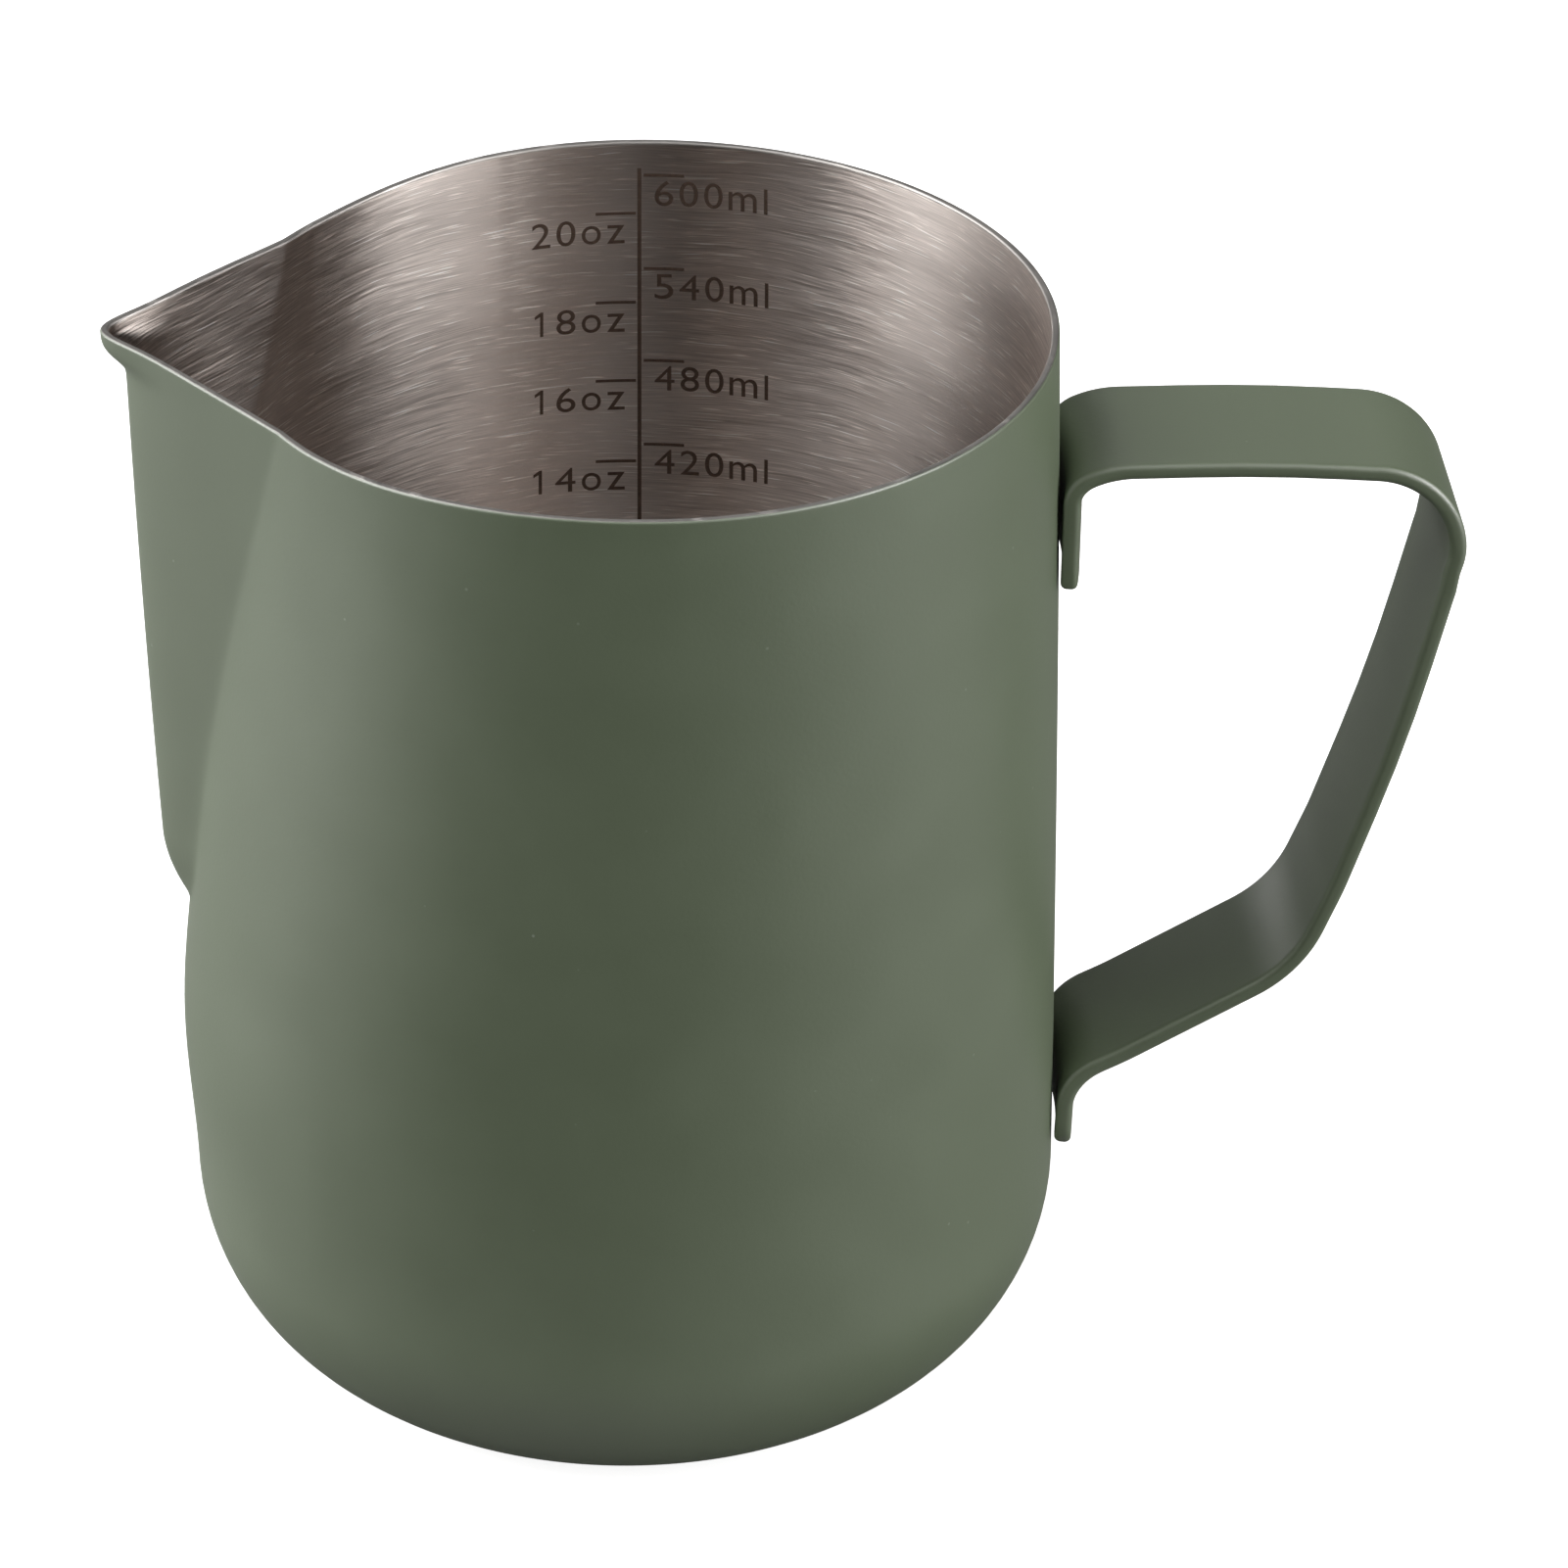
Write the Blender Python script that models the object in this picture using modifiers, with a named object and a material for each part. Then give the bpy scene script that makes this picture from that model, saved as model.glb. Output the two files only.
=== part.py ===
"""Milk frothing pitcher: a drawn steel cup with a pressed V spout and a bent
strip handle that is spot-welded to the wall by its two tabs.

Blender 4.5. Metres, +Z up. The origin is the centre of the base on the plane
that the pitcher stands on. +X points to the handle, -X to the spout.
"""
import math

import bmesh
import bpy
import numpy as np
from mathutils import Vector

MM = 0.001

# ---------------------------------------------------------------- cup (mm)
RIM_Z = 115.2            # height of the rim at the handle and at the spout's tip
WALL_T = 0.8             # sheet thickness
BASE_CORNER_R = 19.9     # radius between wall and base
FOOT_R = 44.58           # outer radius where the wall meets the base corner
TAPER_LINEAR = 1.49      # loss of radius up to the rim: linear and square terms
TAPER_SQUARE = 0.74
RIM_DIP = 1.0            # the rim sinks a little on each side of the spout
RIM_DIP_AT = 42.0        # degrees from the spout's centre line
RIM_DIP_WIDTH = 24.0
OVAL = 0.35              # widening of the mouth beside the handle
OVAL_AT = 120.0
OVAL_WIDTH = 28.0
RIM_EDGE_R = 0.22        # break of the rim's two edges

# ---------------------------------------------------------------- spout (mm)
SPOUT_FOOT_Z = 60.9      # level where the pressed V starts to run out
SPOUT_TIP_LOW = 47.25    # reach of the V's nose at that level
SPOUT_TIP_RISE = 1.55    # more reach at the rim
SPOUT_TIP_BOW = 0.75
SPOUT_HALF_ANGLE = 47.0  # degrees, flank to centre line
SPOUT_LIMIT = 0.68        # radians from the nose, past which only the wall counts
SPOUT_NOSE_TOP = 4.9     # roundness of the nose at the rim
SPOUT_NOSE_LOW = 3.0     # and at its foot
SPOUT_END_Z = 58.8       # the nose falls back to the wall below this level
SPOUT_END_RATE = 0.0366
CREASE_TOP = 1.5         # softness of the valley between flank and wall
CREASE_LOW = 0.5
LIP_OUT = 2.3            # the nose curls out at the very top
LIP_Z = 112.5
LIP_SOFT = 0.47
LIP_WIDTH = 4.2
PINCH = 3.15             # the wall beside the spout is drawn in
PINCH_WIDTH = 68.0
PINCH_FROM_Z = 58.0
BULGE = 1.42             # swell of the wall below the spout
BULGE_Z = 38.5
BULGE_SIGMA = 9.6
BULGE_WIDTH = 44.0

# ---------------------------------------------------------------- handle (mm)
STRIP_W = 17.7
STRIP_T = 1.72
STRIP_EDGE_R = 0.58
TAB_UP_X = 44.27
TAB_UP_END_Z = 88.9
TAB_LOW_X = 45.75
TAB_LOW_END_Z = 22.9
TAB_SAG = 0.68           # each tab is curved a little to follow the wall
TAB_FADE = 6.0
TAB_CORNER_R = 2.7
# corners of the strip's centre line in the XZ plane, and the bend at each
HANDLE_TOP_NEAR = (TAB_UP_X, 100.1, 3.45)
HANDLE_TOP_RISE = (47.7, 101.9, 14.8)
HANDLE_TOP_MID = (62.9, 102.0, 197.0)
HANDLE_TOP_FAR = (84.0, 100.45, 10.8)
HANDLE_GRIP_MID = (77.5, 71.0, 207.0)
HANDLE_GRIP_LOW = (72.05, 53.7, 32.0)
HANDLE_KNEE = (68.4, 44.25, 19.7)
HANDLE_LOW_NEAR = (TAB_LOW_X + 0.2, 31.1, 6.4)

# ---------------------------------------------------------------- welds (mm)
WELD_R = 2.2
WELD_T = 0.45
WELD_POCKET_R = 2.55
WELD_POCKET_DEPTH = 0.85
WELD_OFFSET_Y = 4.2
WELD_UP_Z = 93.0
WELD_LOW_Z = 26.6
GAP = 0.3                # clearance between touching pieces

CUP_STEPS = 66
STRIP_STEPS = 6


# ---------------------------------------------------------------- scene setup
for ob in list(bpy.data.objects):
    bpy.data.objects.remove(ob, do_unlink=True)

parts = bpy.data.collections.new("milk_frothing_pitcher")
cutters = bpy.data.collections.new("cutters")
bpy.context.scene.collection.children.link(parts)
bpy.context.scene.collection.children.link(cutters)


def material(name, color, metallic, roughness):
    mat = bpy.data.materials.new(name)
    mat.use_nodes = True
    shader = mat.node_tree.nodes["Principled BSDF"]
    shader.inputs["Base Color"].default_value = (*color, 1.0)
    shader.inputs["Metallic"].default_value = metallic
    shader.inputs["Roughness"].default_value = roughness
    mat.diffuse_color = (*color, 1.0)
    return mat


def from_modifiers(ob):
    """A mesh of the object as its modifiers leave it."""
    bpy.context.view_layer.update()
    evaluated = ob.evaluated_get(bpy.context.evaluated_depsgraph_get())
    return bpy.data.meshes.new_from_object(evaluated)


def place(name, mesh, collection, mat=None):
    ob = bpy.data.objects.new(name, mesh)
    collection.objects.link(ob)
    if mat is not None:
        mesh.materials.clear()
        mesh.materials.append(mat)
    return ob


# ---------------------------------------------------------------- cup surface
def wall_radius(z):
    """Outer radius of the plain turned cup at height z."""
    u = (z - BASE_CORNER_R) / (RIM_Z - BASE_CORNER_R)
    return FOOT_R - TAPER_LINEAR * u - TAPER_SQUARE * u * u


def cup_profile():
    """(radius, height) from the rim down the outside to the base's centre."""
    lip = np.linspace(RIM_Z, RIM_Z - 3.6, 7)[:-1]
    upper = np.linspace(RIM_Z - 3.6, SPOUT_FOOT_Z, 7)[:-1]
    foot = np.linspace(SPOUT_FOOT_Z, 47.5, 7)[:-1]
    lower = np.linspace(47.5, BASE_CORNER_R, 5)
    points = [(wall_radius(z), z) for z in (*lip, *upper, *foot, *lower)]
    centre_r = FOOT_R - BASE_CORNER_R
    for k in range(1, 7):
        a = math.radians(15.0 * k)
        points.append((centre_r + BASE_CORNER_R * math.cos(a), BASE_CORNER_R * (1.0 - math.sin(a))))
    points.append((centre_r * 0.5, 0.0))
    points.append((0.0, 0.0))
    return points


def nose_reach(z):
    """How far the V's nose stands from the axis at height z."""
    v = (z - SPOUT_FOOT_Z) / (RIM_Z - SPOUT_FOOT_Z)
    reach = SPOUT_TIP_LOW + SPOUT_TIP_RISE * v + SPOUT_TIP_BOW * v * (1.0 - v)
    if z < SPOUT_END_Z:
        reach -= SPOUT_END_RATE * (SPOUT_END_Z - z) ** 2
    return reach


def spout_radius(phi, z):
    """Polar radius of the V's outer face, a hyperbola in plan."""
    v = min(max((z - SPOUT_FOOT_Z) / (RIM_Z - SPOUT_FOOT_Z), 0.0), 1.0)
    a = SPOUT_NOSE_LOW + (SPOUT_NOSE_TOP - SPOUT_NOSE_LOW) * v
    c = 1.0 / math.tan(math.radians(SPOUT_HALF_ANGLE))
    q = nose_reach(z) + a
    cosp, sinp = math.cos(phi), math.sin(phi)
    root = q * q * cosp * cosp - (cosp * cosp - c * c * sinp * sinp) * (q * q - a * a)
    return (q * q - a * a) / (q * cosp + math.sqrt(max(root, 0.0)))


def body_radius(phi, z, r):
    """Polar radius of the wall without the V, at phi radians from the spout."""
    deg = math.degrees(phi)
    f = (z - PINCH_FROM_Z) / (RIM_Z - PINCH_FROM_Z)
    if f > 0.0:
        f = min(f, 1.0)
        r -= PINCH * math.sin(0.5 * math.pi * f ** 1.3) * math.exp(-((deg / PINCH_WIDTH) ** 3))
        r += OVAL * f * math.exp(-(((deg - OVAL_AT) / OVAL_WIDTH) ** 2))
    swell = math.exp(-0.5 * ((z - BULGE_Z) / BULGE_SIGMA) ** 2)
    return r + BULGE * swell * math.exp(-((deg / BULGE_WIDTH) ** 2))


def press_spout(x, y, z):
    """Moves a point of the turned cup (mm) to the pressed shape."""
    r = math.hypot(x, y)
    if r < FOOT_R - BASE_CORNER_R + 1.0:
        return x, y, z
    phi = math.atan2(abs(y), -x)
    side = 1.0 if y >= 0.0 else -1.0
    # closer columns at the nose, wider ones at the handle
    phi = phi * (0.52 + 0.48 * phi / math.pi)
    new = body_radius(phi, z, r)
    if z > SPOUT_END_Z - 14.0 and phi < math.radians(75.0):
        turn_in = min(phi, SPOUT_LIMIT)
        v = spout_radius(turn_in, z) - 25.0 * (phi - turn_in)
        w = min(max((z - 50.0) / (RIM_Z - 50.0), 0.0), 1.0)
        k = CREASE_LOW + (CREASE_TOP - CREASE_LOW) * w
        new = 0.5 * (new + v + math.sqrt((new - v) ** 2 + k * k)) - 0.25 * k * math.exp(-abs(new - v))
    px, py = -new * math.cos(phi), side * new * math.sin(phi)
    px -= LIP_OUT / (1.0 + math.exp(-(z - LIP_Z) / LIP_SOFT)) * math.exp(-((py / LIP_WIDTH) ** 2)) * (1.0 if px < 0 else 0.0)
    if z > 60.0:
        lift = ((z - 60.0) / (RIM_Z - 60.0)) ** 2
        z -= RIM_DIP * lift * math.exp(-(((math.degrees(phi) - RIM_DIP_AT) / RIM_DIP_WIDTH) ** 2))
    return px, py, z


def make_cup(mat):
    mesh = bpy.data.meshes.new("cup_profile")
    points = [(r * MM, 0.0, z * MM) for r, z in cup_profile()]
    mesh.from_pydata(points, [(i, i + 1) for i in range(len(points) - 1)], [])
    profile = place("cup_profile", mesh, cutters)
    screw = profile.modifiers.new("turn", "SCREW")
    screw.axis = "Z"
    screw.angle = 2.0 * math.pi
    screw.steps = CUP_STEPS
    screw.render_steps = CUP_STEPS
    screw.use_merge_vertices = True
    screw.merge_threshold = 0.00001
    screw.use_smooth_shade = True
    turned = from_modifiers(profile)
    bpy.data.objects.remove(profile, do_unlink=True)
    bm = bmesh.new()
    bm.from_mesh(turned)
    bmesh.ops.remove_doubles(bm, verts=bm.verts, dist=0.00001)
    for v in bm.verts:
        x, y, z = press_spout(v.co.x / MM, v.co.y / MM, v.co.z / MM)
        v.co = Vector((x * MM, y * MM, z * MM))
    bmesh.ops.recalc_face_normals(bm, faces=bm.faces)
    bm.to_mesh(turned)
    bm.free()
    turned.name = "pitcher_body"
    cup = place("pitcher_body", turned, parts, mat)
    shell = cup.modifiers.new("sheet", "SOLIDIFY")
    shell.thickness = WALL_T * MM
    shell.offset = -1.0
    shell.use_even_offset = True
    shell.use_rim = True
    edge = cup.modifiers.new("rim_edge", "BEVEL")
    edge.width = RIM_EDGE_R * MM
    edge.segments = 2
    edge.limit_method = "ANGLE"
    edge.angle_limit = math.radians(60.0)
    return cup


# ---------------------------------------------------------------- handle
def bend_line(corners, start, end):
    """Centre line through filleted corners, as a list of (x, z)."""
    line = [start]
    ends = [start] + [(c[0], c[1]) for c in corners] + [end]
    for i, (cx, cz, radius) in enumerate(corners):
        b = Vector((cx, cz))
        u = (Vector(ends[i]) - b)
        v = (Vector(ends[i + 2]) - b)
        room = 0.49 * min(u.length, v.length)
        u.normalize()
        v.normalize()
        angle = u.angle(v)
        t = min(radius / math.tan(angle / 2.0), room)
        r = t * math.tan(angle / 2.0)
        centre = b + (u + v).normalized() * (r / math.sin(angle / 2.0))
        s, e = b + u * t - centre, b + v * t - centre
        turn = math.atan2(s.x * e.y - s.y * e.x, s.dot(e))
        n = max(2, int(round(abs(math.degrees(turn)) / 9.0)))
        for k in range(n + 1):
            a = turn * k / n
            q = centre + Vector((s.x * math.cos(a) - s.y * math.sin(a), s.x * math.sin(a) + s.y * math.cos(a)))
            line.append((q.x, q.y))
    line.append(end)
    dense = [line[0]]
    for (ax, az), (bx, bz) in zip(line[:-1], line[1:]):
        length = math.hypot(bx - ax, bz - az)
        if length < 0.05:
            continue
        n = max(1, int(length / 5.0))
        for k in range(1, n + 1):
            dense.append((ax + (bx - ax) * k / n, az + (bz - az) * k / n))
    return dense


def make_handle(mat):
    corners = (HANDLE_TOP_NEAR, HANDLE_TOP_RISE, HANDLE_TOP_MID, HANDLE_TOP_FAR,
               HANDLE_GRIP_MID, HANDLE_GRIP_LOW, HANDLE_KNEE, HANDLE_LOW_NEAR)
    line = bend_line(corners, (TAB_UP_X, TAB_UP_END_Z), (TAB_LOW_X, TAB_LOW_END_Z))
    mesh = bpy.data.meshes.new("handle_line")
    mesh.from_pydata([(x * MM, -0.5 * STRIP_W * MM, z * MM) for x, z in line],
                     [(i, i + 1) for i in range(len(line) - 1)], [])
    rail = place("handle_line", mesh, cutters)
    sweep = rail.modifiers.new("width", "SCREW")
    sweep.axis = "Y"
    sweep.angle = 0.0
    sweep.screw_offset = STRIP_W * MM
    sweep.steps = STRIP_STEPS
    sweep.render_steps = STRIP_STEPS
    sweep.use_smooth_shade = True
    sheet = from_modifiers(rail)
    bpy.data.objects.remove(rail, do_unlink=True)
    bm = bmesh.new()
    bm.from_mesh(sheet)
    bmesh.ops.remove_doubles(bm, verts=bm.verts, dist=0.00001)
    corner_verts = [v for v in bm.verts if len(v.link_edges) == 2]
    bmesh.ops.bevel(bm, geom=corner_verts, offset=TAB_CORNER_R * MM, offset_type="OFFSET",
                    segments=4, profile=0.5, affect="VERTICES")
    for v in bm.verts:
        x, y, z = v.co.x / MM, v.co.y / MM, v.co.z / MM
        tab_x = TAB_UP_X if z > 60.0 else TAB_LOW_X
        f = min(max(1.0 - (x - tab_x) / TAB_FADE, 0.0), 1.0)
        f = f * f * (3.0 - 2.0 * f)
        v.co.x -= TAB_SAG * MM * f * (y / (0.5 * STRIP_W)) ** 2
    bmesh.ops.recalc_face_normals(bm, faces=bm.faces)
    bm.to_mesh(sheet)
    bm.free()
    sheet.name = "handle_strip"
    handle = place("handle_strip", sheet, parts, mat)
    thick = handle.modifiers.new("thickness", "SOLIDIFY")
    thick.thickness = STRIP_T * MM
    thick.offset = 0.0
    thick.use_even_offset = True
    thick.use_rim = True
    edge = handle.modifiers.new("rolled_edge", "BEVEL")
    edge.width = STRIP_EDGE_R * MM
    edge.segments = 3
    edge.limit_method = "ANGLE"
    edge.angle_limit = math.radians(50.0)
    return handle


# ---------------------------------------------------------------- welds
def disc(name, collection, radius, depth, centre, mat=None, segments=24, edge=0.0):
    """A disc with its flat faces across X."""
    mesh = bpy.data.meshes.new(name)
    bm = bmesh.new()
    bmesh.ops.create_cone(bm, cap_ends=True, segments=segments, radius1=radius * MM,
                          radius2=radius * MM, depth=depth * MM)
    for v in bm.verts:
        v.co = Vector((v.co.z, v.co.y, -v.co.x))
    bmesh.ops.recalc_face_normals(bm, faces=bm.faces)
    bm.to_mesh(mesh)
    bm.free()
    mesh.shade_smooth()
    mesh.set_sharp_from_angle(angle=math.radians(40.0))
    ob = place(name, mesh, collection, mat)
    ob.location = Vector([c * MM for c in centre])
    if edge:
        rounding = ob.modifiers.new("edge", "BEVEL")
        rounding.width = edge * MM
        rounding.segments = 1
        rounding.limit_method = "ANGLE"
        rounding.angle_limit = math.radians(50.0)
    return ob


def tab_inner_x(tab_x, y):
    """X of the tab's wall-side face at y."""
    return tab_x - 0.5 * STRIP_T - TAB_SAG * (y / (0.5 * STRIP_W)) ** 2


def weld(handle, name, tab_x, y, z, mat):
    """A nugget in a shallow pocket of the tab, facing the wall."""
    face = tab_inner_x(tab_x, y)
    floor = face + WELD_POCKET_DEPTH
    pocket = disc(name + "_pocket", cutters, WELD_POCKET_R, 2.0 * WELD_POCKET_DEPTH,
                  (face, y, z), segments=24)
    pocket.hide_render = True
    pocket.display_type = "WIRE"
    cut = handle.modifiers.new(name, "BOOLEAN")
    cut.operation = "DIFFERENCE"
    cut.solver = "EXACT"
    cut.object = pocket
    return disc(name, parts, WELD_R, WELD_T, (floor - GAP - 0.5 * WELD_T, y, z), mat, edge=0.12)


coat = material("green_powder_coat", (0.16, 0.20, 0.145), 0.0, 0.5)
coat_handle = material("green_powder_coat_handle", (0.16, 0.20, 0.145), 0.0, 0.5)
weld_metal = material("weld_steel", (0.42, 0.40, 0.38), 1.0, 0.45)

cup = make_cup(coat)
handle = make_handle(coat_handle)
weld(handle, "weld_upper_left", TAB_UP_X, WELD_OFFSET_Y, WELD_UP_Z, weld_metal)
weld(handle, "weld_upper_right", TAB_UP_X, -WELD_OFFSET_Y, WELD_UP_Z, weld_metal)
low_x = TAB_LOW_X + 0.2 * (WELD_LOW_Z - TAB_LOW_END_Z) / (31.1 - TAB_LOW_END_Z)
weld(handle, "weld_lower_left", low_x, WELD_OFFSET_Y, WELD_LOW_Z, weld_metal)
weld(handle, "weld_lower_right", low_x, -WELD_OFFSET_Y, WELD_LOW_Z, weld_metal)
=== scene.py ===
import math

import bmesh
import bpy
import numpy as np
from mathutils import Matrix, Vector


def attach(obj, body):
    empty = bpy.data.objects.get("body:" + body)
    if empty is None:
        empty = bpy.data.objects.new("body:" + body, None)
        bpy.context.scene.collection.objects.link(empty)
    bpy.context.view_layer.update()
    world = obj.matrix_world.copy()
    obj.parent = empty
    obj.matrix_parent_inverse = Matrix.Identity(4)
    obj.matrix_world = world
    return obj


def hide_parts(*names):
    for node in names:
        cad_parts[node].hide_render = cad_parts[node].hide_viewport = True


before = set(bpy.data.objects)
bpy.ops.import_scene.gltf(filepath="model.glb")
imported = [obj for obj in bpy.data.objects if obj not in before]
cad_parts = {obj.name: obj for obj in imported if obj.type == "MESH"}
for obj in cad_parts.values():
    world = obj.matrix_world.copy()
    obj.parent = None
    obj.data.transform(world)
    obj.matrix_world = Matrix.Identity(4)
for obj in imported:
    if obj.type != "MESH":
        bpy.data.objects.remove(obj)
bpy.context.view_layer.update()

MM = 0.001

# ------------------------------------------------------------------ cup (mm)
RIM_Z = 115.2
WALL_T = 0.8
BASE_CORNER_R = 19.9
FOOT_R = 44.58
TAPER_LINEAR = 1.49
TAPER_SQUARE = 0.74
RIM_DIP, RIM_DIP_AT, RIM_DIP_WIDTH = 1.0, 42.0, 24.0
OVAL, OVAL_AT, OVAL_WIDTH = 0.35, 120.0, 28.0
RIM_ROUND = 0.30         # rounding of the ground edge of the rim

SPOUT_FOOT_Z = 60.9
SPOUT_TIP_LOW, SPOUT_TIP_RISE, SPOUT_TIP_BOW = 47.25, 1.55, 0.75
SPOUT_HALF_ANGLE = 47.0
SPOUT_LIMIT = 0.68
SPOUT_NOSE_TOP, SPOUT_NOSE_LOW = 4.9, 3.0
SPOUT_END_Z, SPOUT_END_RATE = 58.8, 0.0366
CREASE_TOP, CREASE_LOW = 1.5, 0.5
LIP_OUT, LIP_Z, LIP_SOFT, LIP_WIDTH = 2.3, 112.5, 0.47, 4.2
PINCH, PINCH_WIDTH, PINCH_FROM_Z = 3.15, 68.0, 58.0
BULGE, BULGE_Z, BULGE_SIGMA, BULGE_WIDTH = 1.42, 38.5, 9.6, 44.0

CUP_COLUMNS = 384

# --------------------------------------------------------------- handle (mm)
STRIP_W, STRIP_T, STRIP_EDGE_R = 17.7, 1.72, 0.62
TAB_UP_X, TAB_UP_END_Z = 44.27, 88.9
TAB_LOW_X, TAB_LOW_END_Z = 45.75, 22.9
TAB_SAG, TAB_FADE, TAB_CORNER_R = 0.86, 6.0, 1.8
HANDLE_CORNERS = (
    (TAB_UP_X, 100.1, 3.45), (47.7, 101.9, 14.8), (62.9, 102.0, 197.0),
    (84.0, 100.45, 10.8), (77.5, 71.0, 207.0), (72.05, 53.7, 32.0),
    (68.4, 44.25, 19.7), (TAB_LOW_X + 0.2, 31.1, 6.4),
)

# ---------------------------------------------------------------- welds (mm)
WELD_R, WELD_OFFSET_Y = 2.2, 4.2
WELD_UP_Z, WELD_LOW_Z = 93.0, 26.6


# ------------------------------------------------------------------- helpers
def link(ob):
    bpy.context.scene.collection.objects.link(ob)
    return ob


def sink(v, lo, hi):
    return min(max(v, lo), hi)


def wall_radius(z):
    u = (z - BASE_CORNER_R) / (RIM_Z - BASE_CORNER_R)
    return FOOT_R - TAPER_LINEAR * u - TAPER_SQUARE * u * u


def nose_reach(z):
    v = (z - SPOUT_FOOT_Z) / (RIM_Z - SPOUT_FOOT_Z)
    reach = SPOUT_TIP_LOW + SPOUT_TIP_RISE * v + SPOUT_TIP_BOW * v * (1.0 - v)
    if z < SPOUT_END_Z:
        reach -= SPOUT_END_RATE * (SPOUT_END_Z - z) ** 2
    return reach


def spout_radius(phi, z):
    v = sink((z - SPOUT_FOOT_Z) / (RIM_Z - SPOUT_FOOT_Z), 0.0, 1.0)
    a = SPOUT_NOSE_LOW + (SPOUT_NOSE_TOP - SPOUT_NOSE_LOW) * v
    c = 1.0 / math.tan(math.radians(SPOUT_HALF_ANGLE))
    q = nose_reach(z) + a
    cosp, sinp = math.cos(phi), math.sin(phi)
    root = q * q * cosp * cosp - (cosp * cosp - c * c * sinp * sinp) * (q * q - a * a)
    return (q * q - a * a) / (q * cosp + math.sqrt(max(root, 0.0)))


def body_radius(phi, z, r):
    deg = math.degrees(phi)
    f = (z - PINCH_FROM_Z) / (RIM_Z - PINCH_FROM_Z)
    if f > 0.0:
        f = min(f, 1.0)
        r -= PINCH * math.sin(0.5 * math.pi * f ** 1.3) * math.exp(-((deg / PINCH_WIDTH) ** 3))
        r += OVAL * f * math.exp(-(((deg - OVAL_AT) / OVAL_WIDTH) ** 2))
    swell = math.exp(-0.5 * ((z - BULGE_Z) / BULGE_SIGMA) ** 2)
    return r + BULGE * swell * math.exp(-((deg / BULGE_WIDTH) ** 2))


def press_spout(x, y, z):
    """Moves a point of the turned cup (mm) to the pressed shape."""
    r = math.hypot(x, y)
    if r < 1e-9:
        return x, y, z
    phi = math.atan2(abs(y), -x)
    side = 1.0 if y >= 0.0 else -1.0
    phi = phi * (0.52 + 0.48 * phi / math.pi)
    new = body_radius(phi, z, r) if r >= FOOT_R - BASE_CORNER_R + 1.0 else r
    if z > SPOUT_END_Z - 14.0 and phi < math.radians(75.0):
        turn_in = min(phi, SPOUT_LIMIT)
        v = spout_radius(turn_in, z) - 25.0 * (phi - turn_in)
        w = sink((z - 50.0) / (RIM_Z - 50.0), 0.0, 1.0)
        k = CREASE_LOW + (CREASE_TOP - CREASE_LOW) * w
        new = 0.5 * (new + v + math.sqrt((new - v) ** 2 + k * k)) - 0.25 * k * math.exp(-abs(new - v))
    px, py = -new * math.cos(phi), side * new * math.sin(phi)
    if px < 0.0:
        px -= LIP_OUT / (1.0 + math.exp(-(z - LIP_Z) / LIP_SOFT)) * math.exp(-((py / LIP_WIDTH) ** 2))
    if z > 60.0:
        lift = ((z - 60.0) / (RIM_Z - 60.0)) ** 2
        z -= RIM_DIP * lift * math.exp(-(((math.degrees(phi) - RIM_DIP_AT) / RIM_DIP_WIDTH) ** 2))
    return px, py, z


def cup_rows():
    """(radius, height) of the outer sheet from just under the rim to the base."""
    levels = np.concatenate([
        np.linspace(RIM_Z - RIM_ROUND, 109.5, 26)[:-1],
        np.linspace(109.5, 63.0, 38)[:-1],
        np.linspace(63.0, 46.0, 30)[:-1],
        np.linspace(46.0, BASE_CORNER_R, 16)[:-1],
    ])
    rows = [(wall_radius(z), float(z)) for z in levels]
    centre_r = FOOT_R - BASE_CORNER_R
    for k in range(0, 25):
        a = math.radians(3.75 * k)
        rows.append((centre_r + BASE_CORNER_R * math.cos(a), BASE_CORNER_R * (1.0 - math.sin(a))))
    for f in (0.86, 0.7, 0.53, 0.36, 0.2, 0.08):
        rows.append((centre_r * f, 0.0))
    return rows


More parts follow.
